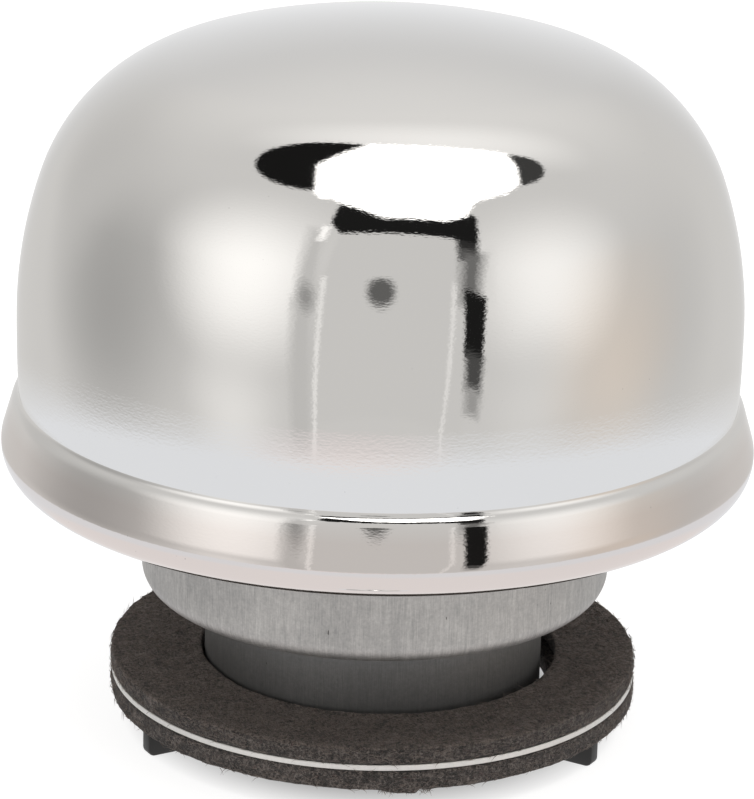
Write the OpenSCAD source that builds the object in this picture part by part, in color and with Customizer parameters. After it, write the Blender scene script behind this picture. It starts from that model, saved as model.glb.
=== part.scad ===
// Air filter housing of a small engine: a domed cover over a stepped cup, with a filter element,
// a centre stud and a loose sealing ring on the neck. Millimetres, +Z up. The origin is on the
// cup's axis, in the plane that the three feet stand on.

/* [Cover] */
// Outside diameter of the cover's rolled rim
rim_d = 100; // [90:1:120]
// Height of the cover from its rim to its crown
cover_h = 60.8; // [50:0.1:74]
// Height of the cover's rim above the feet
cover_z = 35.2; // [30:0.1:40]
// Sheet thickness of the cover
cover_wall = 0.8; // [0.6:0.1:1.2]
// Radius of the shallow crown
crown_r = 95.3; // [90:0.1:115]
// Radius of the round shoulder
shoulder_r = 26; // [22:0.5:28]
// How far the rim stands out past the wall
rim_flare = 2.15; // [1.5:0.05:3]
// Radius that the rim is rolled under to
rim_roll_r = 4.3; // [3:0.1:5]

/* [Cup and neck] */
// Outside diameter of the cup
cup_d = 62.6; // [58:0.1:75]
// Height of the cup's shoulder above the feet
cup_z = 19.3; // [17:0.1:22]
// Height of the cup from its shoulder to its beaded edge
cup_h = 38.7; // [34:0.1:44]
// Sheet thickness of the cup
cup_wall = 0.9; // [0.7:0.1:1.2]
// Outside radius of the cup's lower corner
cup_corner_r = 2.6; // [2:0.1:3.5]
// Radius of the round bead on the cup's edge
cup_bead_r = 1.1; // [0.9:0.1:1.5]
// Outside diameter of the neck
neck_d = 45.5; // [38:0.1:54.6]
// Radius between the neck and the shoulder
neck_corner_r = 1.2; // [1:0.1:2]

/* [Spider] */
// Reach of each arm from the axis
arm_reach = 34.3; // [30:0.1:40]
// Height of each arm, which is also the height of the feet
arm_h = 3.8; // [3:0.1:5]
// Thickness of each arm
arm_t = 2; // [1.6:0.1:3]
// Radius of each arm's lower outer corner
arm_corner_r = 0.9; // [0.5:0.1:1.5]
// Number of arms
arm_count = 3; // [3:1:4]
// Diameter of the threaded hub
hub_d = 15; // [12:0.5:18]
// Height of the hub
hub_h = 11; // [9:0.5:13]
// Depth of the seat that the neck stands in
neck_seat_depth = 0.8; // [0.5:0.1:1.2]

/* [Sealing ring] */
// Radial gap between the neck and the ring's hole
ring_gap = 1.35; // [0.5:0.05:2]
// Outside diameter of the felt rings
felt_d = 71; // [66:0.1:80]
// How far the felt stands out past the plate
felt_overhang = 0.15; // [0:0.05:0.5]
// Thickness of the lower felt
lower_felt_t = 2.8; // [2:0.1:3.5]
// Thickness of the plate between the felts
plate_t = 0.8; // [0.6:0.1:1.2]
// Thickness of the upper felt
upper_felt_t = 2.4; // [2:0.1:3.5]

/* [Stud and nuts] */
// Diameter of the stud
stud_d = 6; // [5:0.1:7.2]
// Depth that the stud is screwed into the hub
stud_grip = 5; // [4:0.5:6]
// Diameter of the engine's bolt, which screws into the hub from below
engine_bolt_d = 8; // [6.5:0.1:9.6]
// Width across the flats of the nuts
nut_af = 10; // [9:0.1:12]
// Height of the nuts
nut_h = 5; // [4:0.5:6]
// Height of the chamfer on each corner of the nuts
nut_chamfer = 0.45; // [0.2:0.05:0.8]
// How far the flat washer stands out past the nut's flats
washer_overhang = 1.5; // [0.5:0.1:2.5]
// Thickness of the flat washer
washer_t = 1; // [0.8:0.1:1.5]
// How far the spring washer's edge lies inside the flat washer's
spring_washer_step = 1; // [0.5:0.1:1.5]
// Thickness of the spring washer
spring_washer_t = 1.4; // [1.2:0.1:2]
// Wall of the spacer tube
spacer_wall = 1.3; // [1:0.1:1.8]
// Depth from the crown's inside to the end of the stud
stud_top_gap = 3.2; // [2.5:0.1:4]

/* [Filter element] */
// Gap for air between the element's end caps and the cup
element_gap = 3.8; // [2:0.1:6]
// Height of the wire mesh
mesh_h = 30; // [24:0.5:36]
// Inside diameter of the mesh
mesh_bore_d = 30; // [26:0.5:32]
// Sheet thickness of the two perforated tubes
screen_t = 0.7; // [0.5:0.1:1]
// Sheet thickness of the end caps
cap_t = 0.8; // [0.6:0.1:1.2]
// Height of the lip on each end cap
cap_lip_h = 3.5; // [2:0.1:5]
// Thickness of the felt seal under the element
lower_seal_t = 2; // [1.5:0.1:3]
// Thickness of the felt seal on top of the element
upper_seal_t = 2; // [1.5:0.1:3]
// Thickness of the spoked plate that the element stands on
support_t = 1.5; // [1:0.1:2]
// Width of the plate's spokes
spoke_w = 4; // [3:0.1:6]
// Number of spokes
spoke_count = 4; // [3:1:6]
// How far the plate's hub stands out past the flat washer
plate_hub_overhang = 0.5; // [0.2:0.1:1.5]
// Rows of windows in the inner tube
tube_rows = 4; // [3:1:5]
// Windows round the inner tube
tube_windows = 12; // [8:2:16]
// Width of the inner tube's bars
tube_bar_w = 2.4; // [2:0.1:3]
// Rows of windows in the outer screen
screen_rows = 5; // [4:1:6]
// Windows round the outer screen
screen_windows = 24; // [20:2:30]
// Width of the outer screen's bars
screen_bar_w = 1.4; // [1:0.1:2]

/* [Spring and bridge] */
// Mean diameter of the coil spring
spring_d = 20; // [18:0.5:22]
// Diameter of the spring's wire
spring_wire_d = 1.6; // [1.2:0.1:2]
// Turns of the spring
spring_turns = 5.5; // [4:0.5:6]
// Thickness of the spring's seat
seat_t = 1; // [0.8:0.1:1.5]
// How far the seat stands out past the spring
seat_overhang = 2.3; // [1:0.1:4]
// Height of the collar that centres the spring
collar_h = 3; // [2:0.1:5]
// Depth of the bridge below its flange
bridge_depth = 6.5; // [6:0.1:8]
// Outside diameter of the bridge's flange
bridge_d = 44; // [40:0.5:48]
// Sheet thickness of the bridge
bridge_t = 1.2; // [1:0.1:1.6]
// How far the bridge's wall slopes out from its floor to its flange
bridge_slope = 1.95; // [1:0.05:3]

/* [Fits] */
// Radial gap between a nut's bore and the stud
thread_gap = 0.05; // [0.02:0.01:0.09]
// Radial gap round a fixed part that is slipped over another
slip_gap = 0.2; // [0.1:0.05:0.3]
// Radial gap between parts that move past each other
running_gap = 0.4; // [0.35:0.05:0.8]
// Gap between the spring and the bridge
spring_gap = 0.1; // [0.1:0.05:0.3]
// Gap at welded and seated sheet edges
seam_gap = 0.05; // [0.02:0.01:0.1]

/* [Hidden] */
$fn = 96;

// Radii
rim_r = rim_d / 2;
wall_r = rim_r - rim_flare;
cup_r = cup_d / 2;
cup_inner_r = cup_r - cup_wall;
neck_r = neck_d / 2;
neck_inner_r = neck_r - cup_wall;
stud_r = stud_d / 2;
hub_r = hub_d / 2;
felt_r = felt_d / 2;
ring_bore_r = neck_r + ring_gap;
cap_r = cup_inner_r - element_gap;
screen_r = cap_r - cap_t - seam_gap;
mesh_r = screen_r - screen_t - seam_gap;
mesh_bore_r = mesh_bore_d / 2;
tube_r = mesh_bore_r - seam_gap;
tube_bore_r = tube_r - screen_t;
spacer_bore_r = stud_r + slip_gap;
spacer_r = spacer_bore_r + spacer_wall;
sliding_bore_r = spacer_r + running_gap;
spring_r = spring_d / 2;
spring_outer_r = spring_r + spring_wire_d / 2;
nut_flat_r = nut_af / 2;
washer_r = nut_flat_r + washer_overhang;
bridge_r = bridge_d / 2;
corner_inner_r = cup_corner_r - cup_wall;

// Heights
cover_top_z = cover_z + cover_h;
crown_inner_z = cover_top_z - cover_wall;
neck_z = arm_h - neck_seat_depth;
cup_top_z = cup_z + cup_h;
plate_seat_z = cup_z + cup_wall;
washer_z = plate_seat_z + support_t;
spring_washer_z = washer_z + washer_t;
clamp_nut_z = spring_washer_z + spring_washer_t;
spacer_z = clamp_nut_z + nut_h;
element_z = plate_seat_z + support_t;
lower_cap_z = element_z + lower_seal_t;
mesh_z = lower_cap_z + cap_t;
upper_cap_z = mesh_z + mesh_h;
upper_seal_z = upper_cap_z + cap_t;
seat_z = upper_seal_z + upper_seal_t;
spring_z = seat_z + seat_t;
bridge_top_z = crown_z(bridge_r) - seam_gap;
bridge_z = bridge_top_z - bridge_depth;
cover_nut_z = bridge_z + bridge_t;
stud_z = hub_h - stud_grip;
stud_top_z = crown_inner_z - stud_top_gap;
lower_felt_z = arm_h;
plate_z = lower_felt_z + lower_felt_t;
upper_felt_z = plate_z + plate_t;

// The cover's outline is a chain of arcs that meet tangentially. Angles are from +Z.
shoulder_end = 71;    // where the shoulder meets the upper wall
upper_wall_r = 58;    // slow curve of the upper wall
lower_wall_r = 180;   // slower curve of the lower wall
lower_wall_end = 92.5;
bead_hollow_r = 1;    // hollow under the wall
bead_edge_r = 2.5;    // round edge where the rim starts
bead_tilt = 45;
flare_tilt = 73.4;    // slope of the flared rim
roll_end = 190;       // the rim is rolled under past flat

// Height of the cover's inner face at a radius inside the crown
function crown_z(r) = cover_top_z - crown_r + sqrt((crown_r - cover_wall)^2 - r^2);
function polar(r, angle) = [r * sin(angle), r * cos(angle)];
function arc(centre, r, from, to, steps) =
    [for (i = [0 : steps]) centre + polar(r, from + (to - from) * i / steps)];
// The same arc without its first point, where the piece before it ends
function arc_on(centre, r, from, to, steps) =
    [for (i = [1 : steps]) centre + polar(r, from + (to - from) * i / steps)];

upper_c = [wall_r - upper_wall_r, 0];
shoulder_x = upper_c.x + (upper_wall_r - shoulder_r) * sin(shoulder_end);
crown_end = asin(shoulder_x / (crown_r - shoulder_r));
crown_c = [0, cover_top_z - crown_r];
shoulder_c = [shoulder_x, crown_c.y + (crown_r - shoulder_r) * cos(crown_end)];
wall_c = [upper_c.x, shoulder_c.y - (upper_wall_r - shoulder_r) * cos(shoulder_end)];

roll_c = [rim_r - rim_roll_r, cover_z + rim_roll_r];
flare_end = roll_c + polar(rim_roll_r, flare_tilt);
hollow_x = wall_r - lower_wall_r + (lower_wall_r + bead_hollow_r) * sin(lower_wall_end);
edge_x = hollow_x - (bead_hollow_r + bead_edge_r) * sin(bead_tilt);
flare_start_x = edge_x + bead_edge_r * sin(flare_tilt);
flare_start_z = flare_end.y + (flare_end.x - flare_start_x) * tan(flare_tilt);
edge_c = [edge_x, flare_start_z - bead_edge_r * cos(flare_tilt)];
hollow_c = edge_c + polar(bead_hollow_r + bead_edge_r, bead_tilt);
lower_c = [
    wall_r - lower_wall_r,
    hollow_c.y - (lower_wall_r + bead_hollow_r) * cos(lower_wall_end),
];

// The cover's outline at a depth inside its outer face, from the crown to the rolled edge
function cover_side(depth) = concat(
    [[0, cover_top_z - depth]],
    arc_on(crown_c, crown_r - depth, 0, crown_end, 8),
    arc_on(shoulder_c, shoulder_r - depth, crown_end, shoulder_end, 14),
    arc_on(wall_c, upper_wall_r - depth, shoulder_end, 90, 6),
    arc(lower_c, lower_wall_r - depth, 90, lower_wall_end, 2),
    arc_on(hollow_c, -bead_hollow_r - depth, lower_wall_end, bead_tilt, 4),
    arc_on(edge_c, bead_edge_r - depth, bead_tilt, flare_tilt, 3),
    arc(roll_c, rim_roll_r - depth, flare_tilt, 90, 2),
    arc_on(roll_c, rim_roll_r - depth, 90, 180, 8),
    arc_on(roll_c, rim_roll_r - depth, 180, roll_end, 1)
);
function reversed(list) = [for (i = [len(list) - 1 : -1 : 0]) list[i]];

module tube(outer, inner, height, z = 0) {
    translate([0, 0, z])
        linear_extrude(height)
            difference() {
                circle(outer);
                circle(inner);
            }
}

module hex_nut(bore_r, z) {
    corner_r = nut_flat_r / cos(30);
    face_r = nut_flat_r + 0.2;
    translate([0, 0, z])
        difference() {
            intersection() {
                cylinder(h = nut_h, r = corner_r, $fn = 6);
                rotate_extrude()
                    polygon([
                        [0, 0],
                        [face_r, 0],
                        [corner_r + 0.1, nut_chamfer],
                        [corner_r + 0.1, nut_h - nut_chamfer],
                        [face_r, nut_h],
                        [0, nut_h],
                    ]);
            }
            translate([0, 0, -1])
                cylinder(h = nut_h + 2, r = bore_r);
        }
}

// A tube as high as the mesh, with rows of square windows and bars between them. Each cutter goes
// through both sides of the tube at once.
module windowed_tube(outer, inner, rows, windows, bar_w) {
    pitch = (mesh_h - bar_w) / rows;
    window_w = 2 * PI * outer / windows - bar_w;
    difference() {
        tube(outer, inner, mesh_h, mesh_z);
        for (row = [0 : rows - 1])
            translate([0, 0, mesh_z + bar_w + pitch * row])
                linear_extrude(pitch - bar_w)
                    for (i = [0 : windows / 2 - 1])
                        rotate(360 * i / windows)
                            square([3 * outer, window_w], center = true);
    }
}

module cover() {
    color("gainsboro")
        rotate_extrude()
            polygon(concat(cover_side(0), reversed(cover_side(cover_wall))));
}

// A pressed bridge, welded inside the crown, that carries the nut
module bridge() {
    floor_r = spring_outer_r + spring_wire_d / 2 + bridge_t;
    color("darkgray")
        difference() {
            rotate_extrude()
                polygon([
                    [0, bridge_z],
                    [floor_r, bridge_z],
                    [floor_r + bridge_slope, bridge_top_z - bridge_t],
                    [bridge_r, bridge_top_z - bridge_t],
                    [bridge_r, bridge_top_z],
                    [floor_r + bridge_slope - bridge_t, bridge_top_z],
                    [floor_r - bridge_t, bridge_z + bridge_t],
                    [0, bridge_z + bridge_t],
                ]);
            translate([0, 0, bridge_z - 1])
                cylinder(h = bridge_t + 2, r = stud_r + running_gap);
        }
}

module cover_nut() {
    color("silver")
        hex_nut(stud_r + thread_gap, cover_nut_z);
}

// One piece of drawn sheet: neck, shoulder, wall and beaded edge
module cup() {
    corner_c = [cup_r - cup_corner_r, cup_z + cup_corner_r];
    neck_c = [neck_r + neck_corner_r, cup_z - neck_corner_r];
    bead_c = [cup_inner_r + cup_bead_r, cup_top_z - cup_bead_r];
    bead_start = 180 - asin((cup_r - bead_c.x) / cup_bead_r);
    color("darkgray")
        rotate_extrude()
            polygon(concat(
                [[neck_inner_r, neck_z], [neck_r, neck_z]],
                arc(neck_c, neck_corner_r, -90, 0, 4),
                arc(corner_c, cup_corner_r, 180, 90, 6),
                arc(bead_c, cup_bead_r, bead_start, -90, 16),
                arc(corner_c, corner_inner_r, 90, 180, 6),
                arc(neck_c, neck_corner_r + cup_wall, 0, -90, 4)
            ));
}

// Outline of an arm from the side: flat foot, upright end and a rounded lower corner
module arm_side() {
    difference() {
        union() {
            square([arm_reach - arm_corner_r, arm_h]);
            translate([0, arm_corner_r])
                square([arm_reach, arm_h - arm_corner_r]);
            translate([arm_reach - arm_corner_r, arm_corner_r])
                circle(arm_corner_r, $fn = 32);
        }
        // seat for the neck
        translate([neck_inner_r - slip_gap, neck_z])
            square([cup_wall + 2 * slip_gap, arm_h]);
    }
}

module spider() {
    color("dimgray")
        difference() {
            union() {
                cylinder(h = hub_h, r = hub_r);
                for (i = [0 : arm_count - 1])
                    rotate([0, 0, 90 + 360 * i / arm_count])
                        rotate([90, 0, 0])
                            translate([0, 0, -arm_t / 2])
                                linear_extrude(arm_t)
                                    arm_side();
            }
            // the engine's bolt screws in below, and the stud above it
            translate([0, 0, -1])
                cylinder(h = stud_z + 1, r = engine_bolt_d / 2);
            translate([0, 0, stud_z])
                cylinder(h = stud_grip + 1, r = stud_r + thread_gap);
        }
}

// A spoked plate on the cup's shoulder: the element stands on its rim, and the hub is clamped
module support_plate() {
    color("silver")
        translate([0, 0, plate_seat_z])
            linear_extrude(support_t)
                difference() {
                    union() {
                        difference() {
                            circle(cup_r - cup_corner_r - slip_gap);
                            circle(tube_bore_r);
                        }
                        circle(washer_r + plate_hub_overhang);
                        for (i = [0 : spoke_count - 1])
                            rotate(45 + 360 * i / spoke_count)
                                translate([0, -spoke_w / 2])
                                    square([tube_bore_r + 1, spoke_w]);
                    }
                    circle(stud_r + slip_gap);
                }
}

module flat_washer() {
    color("silver")
        tube(washer_r, stud_r + slip_gap, washer_t, washer_z);
}

// Split spring washer
module spring_washer() {
    split_w = 0.7;
    split_tilt = 35;
    color("gray")
        difference() {
            tube(washer_r - spring_washer_step, stud_r + slip_gap, spring_washer_t, spring_washer_z);
            translate([washer_r, 0, spring_washer_z + spring_washer_t / 2])
                rotate([split_tilt, 0, 0])
                    cube([2 * washer_r, split_w, 4 * spring_washer_t], center = true);
        }
}

module clamp_nut() {
    color("silver")
        hex_nut(stud_r + thread_gap, clamp_nut_z);
}

module centre_stud() {
    chamfer = 0.6;
    color("lightgray")
        rotate_extrude()
            polygon([
                [0, stud_z],
                [stud_r - chamfer, stud_z],
                [stud_r, stud_z + chamfer],
                [stud_r, stud_top_z - chamfer],
                [stud_r - chamfer, stud_top_z],
                [0, stud_top_z],
            ]);
}

module spacer_tube() {
    color("silver")
        tube(spacer_r, spacer_bore_r, bridge_z - spacer_z, spacer_z);
}

module lower_seal() {
    color("dimgray")
        tube(screen_r, mesh_bore_r, lower_seal_t, element_z);
}

module lower_end_cap() {
    color("silver")
        union() {
            tube(cap_r, tube_bore_r, cap_t, lower_cap_z);
            tube(cap_r, cap_r - cap_t, cap_lip_h, mesh_z);
        }
}

module inner_tube() {
    color("silver")
        windowed_tube(tube_r, tube_bore_r, tube_rows, tube_windows, tube_bar_w);
}

module mesh_pack() {
    color("lightsteelblue")
        tube(mesh_r, mesh_bore_r, mesh_h, mesh_z);
}

module outer_screen() {
    color("gray")
        windowed_tube(screen_r, screen_r - screen_t, screen_rows, screen_windows, screen_bar_w);
}

module upper_end_cap() {
    color("silver")
        union() {
            tube(cap_r, sliding_bore_r, cap_t, upper_cap_z);
            tube(cap_r, cap_r - cap_t, cap_lip_h, upper_cap_z - cap_lip_h);
        }
}

module upper_seal() {
    color("dimgray")
        tube(spring_r - spring_wire_d, sliding_bore_r, upper_seal_t, upper_seal_z);
}

// A dished seat with a collar that centres the spring
module spring_seat() {
    collar_r = spring_r - spring_wire_d / 2 - slip_gap;
    color("silver")
        union() {
            tube(spring_outer_r + seat_overhang, sliding_bore_r, seat_t, seat_z);
            tube(collar_r, collar_r - seat_t, collar_h, seat_z);
        }
}

// A round wire wound from the seat to the bridge, with a flat turn at each end
module pressure_spring() {
    sides = 8;      // round the wire
    steps = 20;     // in each turn
    wire_r = spring_wire_d / 2;
    low = spring_z + wire_r;
    high = bridge_z - spring_gap - wire_r;
    rings = ceil(spring_turns * steps);
    flat_turn = 0.8;  // part of a turn that lies flat at each end
    active = spring_turns - 2 * flat_turn;
    function lift(turn) = low + (high - low) * min(1, max(0, (turn - flat_turn) / active));
    function ring(turn) = [
        for (k = [0 : sides - 1])
            let (around = 360 * k / sides, out = spring_r + wire_r * cos(around))
                [out * cos(360 * turn), out * sin(360 * turn), lift(turn) + wire_r * sin(around)]
    ];
    points = [for (i = [0 : rings]) each ring(spring_turns * i / rings)];
    walls = [
        for (i = [0 : rings - 1], k = [0 : sides - 1])
            let (a = i * sides, b = a + sides, next = (k + 1) % sides)
                [a + k, b + k, b + next, a + next]
    ];
    start = [for (k = [0 : sides - 1]) k];
    end = [for (k = [sides - 1 : -1 : 0]) rings * sides + k];
    color("slategray")
        polyhedron(points, concat(walls, [start, end]), convexity = 8);
}

module upper_felt() {
    color("dimgray")
        tube(felt_r, ring_bore_r, upper_felt_t, upper_felt_z);
}

module ring_plate() {
    color("lightgray")
        tube(felt_r - felt_overhang, ring_bore_r, plate_t, plate_z);
}

module lower_felt() {
    color("dimgray")
        tube(felt_r, ring_bore_r, lower_felt_t, lower_felt_z);
}

cover();
bridge();
cover_nut();
cup();
spider();
support_plate();
flat_washer();
spring_washer();
clamp_nut();
centre_stud();
spacer_tube();
lower_seal();
lower_end_cap();
inner_tube();
mesh_pack();
outer_screen();
upper_end_cap();
upper_seal();
spring_seat();
pressure_spring();
upper_felt();
ring_plate();
lower_felt();
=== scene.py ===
import bpy
import math
import random
from mathutils import Matrix, Vector, noise


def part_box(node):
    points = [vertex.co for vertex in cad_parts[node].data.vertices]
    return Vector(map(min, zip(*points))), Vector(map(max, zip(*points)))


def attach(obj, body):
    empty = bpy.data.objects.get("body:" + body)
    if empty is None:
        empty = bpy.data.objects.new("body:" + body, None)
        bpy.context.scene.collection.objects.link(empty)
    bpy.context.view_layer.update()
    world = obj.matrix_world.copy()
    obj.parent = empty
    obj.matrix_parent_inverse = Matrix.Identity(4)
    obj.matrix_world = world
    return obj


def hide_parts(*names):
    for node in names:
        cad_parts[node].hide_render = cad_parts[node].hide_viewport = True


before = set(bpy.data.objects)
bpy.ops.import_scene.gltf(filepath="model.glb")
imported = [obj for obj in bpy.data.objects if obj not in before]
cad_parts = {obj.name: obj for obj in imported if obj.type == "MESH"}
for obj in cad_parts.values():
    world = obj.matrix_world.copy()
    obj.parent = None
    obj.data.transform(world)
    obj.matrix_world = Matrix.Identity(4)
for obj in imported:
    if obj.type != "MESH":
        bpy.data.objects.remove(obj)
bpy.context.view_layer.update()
mm = 0.001
weldGap = 0.001 * mm              # points closer than this become one
print("frame loaded:", len(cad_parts), "nodes")


# small tools for modelling

def deselectAll():
    if bpy.context.object and bpy.context.object.mode != "OBJECT":
        bpy.ops.object.mode_set(mode="OBJECT")
    bpy.ops.object.select_all(action="DESELECT")


def pick(*pieces):
    deselectAll()
    for piece in pieces:
        piece.select_set(True)
    bpy.context.view_layer.objects.active = pieces[0]


def placeFixed(piece):
    pick(piece)
    bpy.ops.object.transform_apply(location=True, rotation=True, scale=True)


def applyModifier(piece, kind, **settings):
    pick(piece)
    modifier = piece.modifiers.new(kind.title(), kind)
    for key, value in settings.items():
        setattr(modifier, key, value)
    bpy.ops.object.modifier_apply(modifier=modifier.name)


def bevelEdges(piece, width, segments=3, angle=40):
    applyModifier(
        piece, "BEVEL", width=width, segments=segments,
        limit_method="ANGLE", angle_limit=math.radians(angle),
    )


def joined(*pieces):
    pick(*pieces)
    if len(pieces) > 1:
        bpy.ops.object.join()
    return bpy.context.object


def recalculateNormals(piece, mergeDistance=2 * weldGap):
    pick(piece)
    bpy.ops.object.mode_set(mode="EDIT")
    bpy.ops.mesh.select_all(action="SELECT")
    bpy.ops.mesh.remove_doubles(threshold=mergeDistance)
    bpy.ops.mesh.normals_make_consistent(inside=False)
    bpy.ops.object.mode_set(mode="OBJECT")


def polar(centre, radius, angle):      # angle in degrees, from straight up
    turn = math.radians(angle)
    return (centre[0] + radius * math.sin(turn), centre[1] + radius * math.cos(turn))


def arc(centre, radius, start, end, steps, skipFirst=False):
    return [
        polar(centre, radius, start + (end - start) * i / steps)
        for i in range(1 if skipFirst else 0, steps + 1)
    ]


def finishPiece(piece, name, material, body, replaced=(), smooth=30):
    placeFixed(piece)
    if smooth:
        bpy.ops.object.shade_smooth_by_angle(angle=math.radians(smooth))
    piece.name = name
    piece.data.name = name
    piece.data.materials.clear()
    piece.data.materials.append(material)
    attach(piece, body)
    if replaced:
        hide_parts(*replaced)
    return piece


# one point is pulled along an outline of (radius, height) points, and is left in edit mode
def pulledOutline(outline, closed=True):
    deselectAll()
    r, z = outline[0]
    bpy.ops.mesh.primitive_plane_add(size=1 * mm, location=(r, 0, z))
    piece = bpy.context.object
    bpy.ops.object.mode_set(mode="EDIT")
    bpy.ops.mesh.merge(type="CENTER")
    path = list(outline[1:]) + ([outline[0]] if closed else [])
    for nextR, nextZ in path:
        move = (nextR - r, 0, nextZ - z)
        bpy.ops.mesh.extrude_vertices_move(TRANSFORM_OT_translate={"value": move})
        r, z = nextR, nextZ
    bpy.ops.mesh.select_all(action="SELECT")
    bpy.ops.mesh.remove_doubles(threshold=weldGap)
    bpy.ops.mesh.select_all(action="SELECT")
    return piece


# an outline that is open starts and ends on the axis
def lathe(outline, steps=160, closed=True):
    piece = pulledOutline(outline, closed)
    bpy.ops.mesh.spin(steps=steps, angle=math.tau, center=(0, 0, 0), axis=(0, 0, 1))
    bpy.ops.object.mode_set(mode="OBJECT")
    recalculateNormals(piece)
    placeFixed(piece)
    return piece


# a closed section is wound round the axis from startAngle, and rises as it goes
def coil(section, startAngle, turns, rise, stepsPerTurn):
    piece = pulledOutline(section)
    bpy.ops.object.mode_set(mode="OBJECT")
    placeFixed(piece)
    steps = max(2, round(turns * stepsPerTurn))
    applyModifier(
        piece, "SCREW", axis="Z", angle=turns * math.tau, screw_offset=rise,
        steps=steps, render_steps=steps,
    )
    piece.rotation_euler.z = startAngle
    placeFixed(piece)
    return piece


def ownCopy(piece):
    copy = piece.copy()
    copy.data = piece.data.copy()
    bpy.context.collection.objects.link(copy)
    return copy


def closeEnds(piece, sides):
    pick(piece)
    bpy.ops.object.mode_set(mode="EDIT")
    bpy.ops.mesh.select_all(action="SELECT")
    bpy.ops.mesh.remove_doubles(threshold=2 * weldGap)
    bpy.ops.mesh.select_all(action="SELECT")
    bpy.ops.mesh.fill_holes(sides=sides)
    bpy.ops.mesh.select_all(action="SELECT")
    bpy.ops.mesh.normals_make_consistent(inside=False)
    bpy.ops.object.mode_set(mode="OBJECT")


# a piece whose shape is right in the frame is copied, merged, and its edges broken
def brokenEdgeCopy(node, name, material, body, width=0.12 * mm, segments=2):
    copy = bpy.data.objects.new(name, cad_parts[node].data.copy())
    bpy.context.collection.objects.link(copy)
    pick(copy)
    bpy.ops.object.mode_set(mode="EDIT")
    bpy.ops.mesh.select_all(action="SELECT")
    bpy.ops.mesh.remove_doubles(threshold=weldGap)
    bpy.ops.mesh.select_all(action="SELECT")
    bpy.ops.mesh.dissolve_limited(angle_limit=math.radians(1))
    bpy.ops.object.mode_set(mode="OBJECT")
    bevelEdges(copy, width, segments)
    return finishPiece(copy, name, material, body, [node], smooth=40)


# shader maths

class Value:
    def __init__(self, socket):
        self.socket = socket
        self.tree = socket.id_data

    def combine(self, operation, *others, clamp=False, swap=False):
        node = self.tree.nodes.new("ShaderNodeMath")
        node.operation = operation
        node.use_clamp = clamp
        terms = [self, *others]
        if swap:
            terms.reverse()
        for slot, term in zip(node.inputs, terms):
            if isinstance(term, Value):
                self.tree.links.new(term.socket, slot)
            else:
                slot.default_value = term
        return Value(node.outputs[0])

    def __add__(self, other):
        return self.combine("ADD", other)

    def __sub__(self, other):
        return self.combine("SUBTRACT", other)

    def __rsub__(self, other):
        return self.combine("SUBTRACT", other, swap=True)

    def __mul__(self, other):
        return self.combine("MULTIPLY", other)

    def __truediv__(self, other):
        return self.combine("DIVIDE", other)

    def __rtruediv__(self, other):
        return self.combine("DIVIDE", other, swap=True)

    def __neg__(self):
        return self.combine("MULTIPLY", -1.0)

    __radd__ = __add__
    __rmul__ = __mul__

    def atLeast(self, other):
        return self.combine("MAXIMUM", other)

    def clamped(self):
        return self.combine("ADD", 0.0, clamp=True)

    def root(self):
        return self.combine("SQRT")


class Shader:
    def __init__(self, tree):
        self.tree = tree
        tree.nodes.clear()

    def node(self, kind, settings=None, **inputs):
        node = self.tree.nodes.new("ShaderNode" + kind)
        for key, value in (settings or {}).items():
            if key == "stops":
                self.setStops(node.color_ramp, value)
            else:
                setattr(node, key, value)
        for key, value in inputs.items():
            socket = self.findInput(node, key)
            if isinstance(value, Value):
                self.tree.links.new(value.socket, socket)
            else:
                socket.default_value = value
        return node

    def findInput(self, node, key):      # i0, i6 and so on pick an input by its number
        if key[0] == "i" and key[1:].isdigit():
            return node.inputs[int(key[1:])]
        wanted = key.replace("_", "")
        for socket in node.inputs:
            if socket.name.lower().replace(" ", "") == wanted:
                return socket
        raise KeyError(key)

    def setStops(self, ramp, stops):
        while len(ramp.elements) < len(stops):
            ramp.elements.new(0.5)
        for element, (place, colour) in zip(ramp.elements, stops):
            element.position = place
            element.color = (*colour, 1)

    def out(self, node, key=0):
        return Value(node.outputs[key])

    def parts(self, vector):
        split = self.node("SeparateXYZ", vector=vector)
        return [self.out(split, axis) for axis in range(3)]

    def place(self):                     # x, y, z on the piece, in millimetres
        coordinates = self.node("TexCoord")
        return [part * 1000 for part in self.parts(self.out(coordinates, "Object"))]

    def vector(self, x, y, z):
        return self.out(self.node("CombineXYZ", x=x, y=y, z=z))

    def noise(self, vector, scale, detail=3, roughness=0.55, distortion=0.0):
        node = self.node(
            "TexNoise", vector=vector, scale=scale, detail=detail,
            roughness=roughness, distortion=distortion,
        )
        return self.out(node)

    def mix(self, factor, first, second):
        node = self.node("Mix", {"data_type": "RGBA"}, i0=factor, i6=first, i7=second)
        return self.out(node, 2)

    def bump(self, height, distance, strength=1.0):
        node = self.node("Bump", height=height, distance=distance, strength=strength)
        return self.out(node)


def newMaterial(name):
    material = bpy.data.materials.new(name)
    material.use_nodes = True
    return material, Shader(material.node_tree)


def finishMaterial(shader, **inputs):
    surface = shader.node("BsdfPrincipled", **inputs)
    shader.node("OutputMaterial", surface=shader.out(surface))


def grey(level):
    return (level, level, level, 1)


# materials

finishPlaces = {                  # in millimetres
    "rimStart": 48.3,             # the chrome is duller and pinker outside this radius
    "neckEdge": 24,               # and painted shade darkens the aluminium inside this one
    "plateEdge": 35.2,            # the ring plate's sheared edge
    "napDepth": 0.3,              # of the upper felt's top, which is painted paler
}


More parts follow.
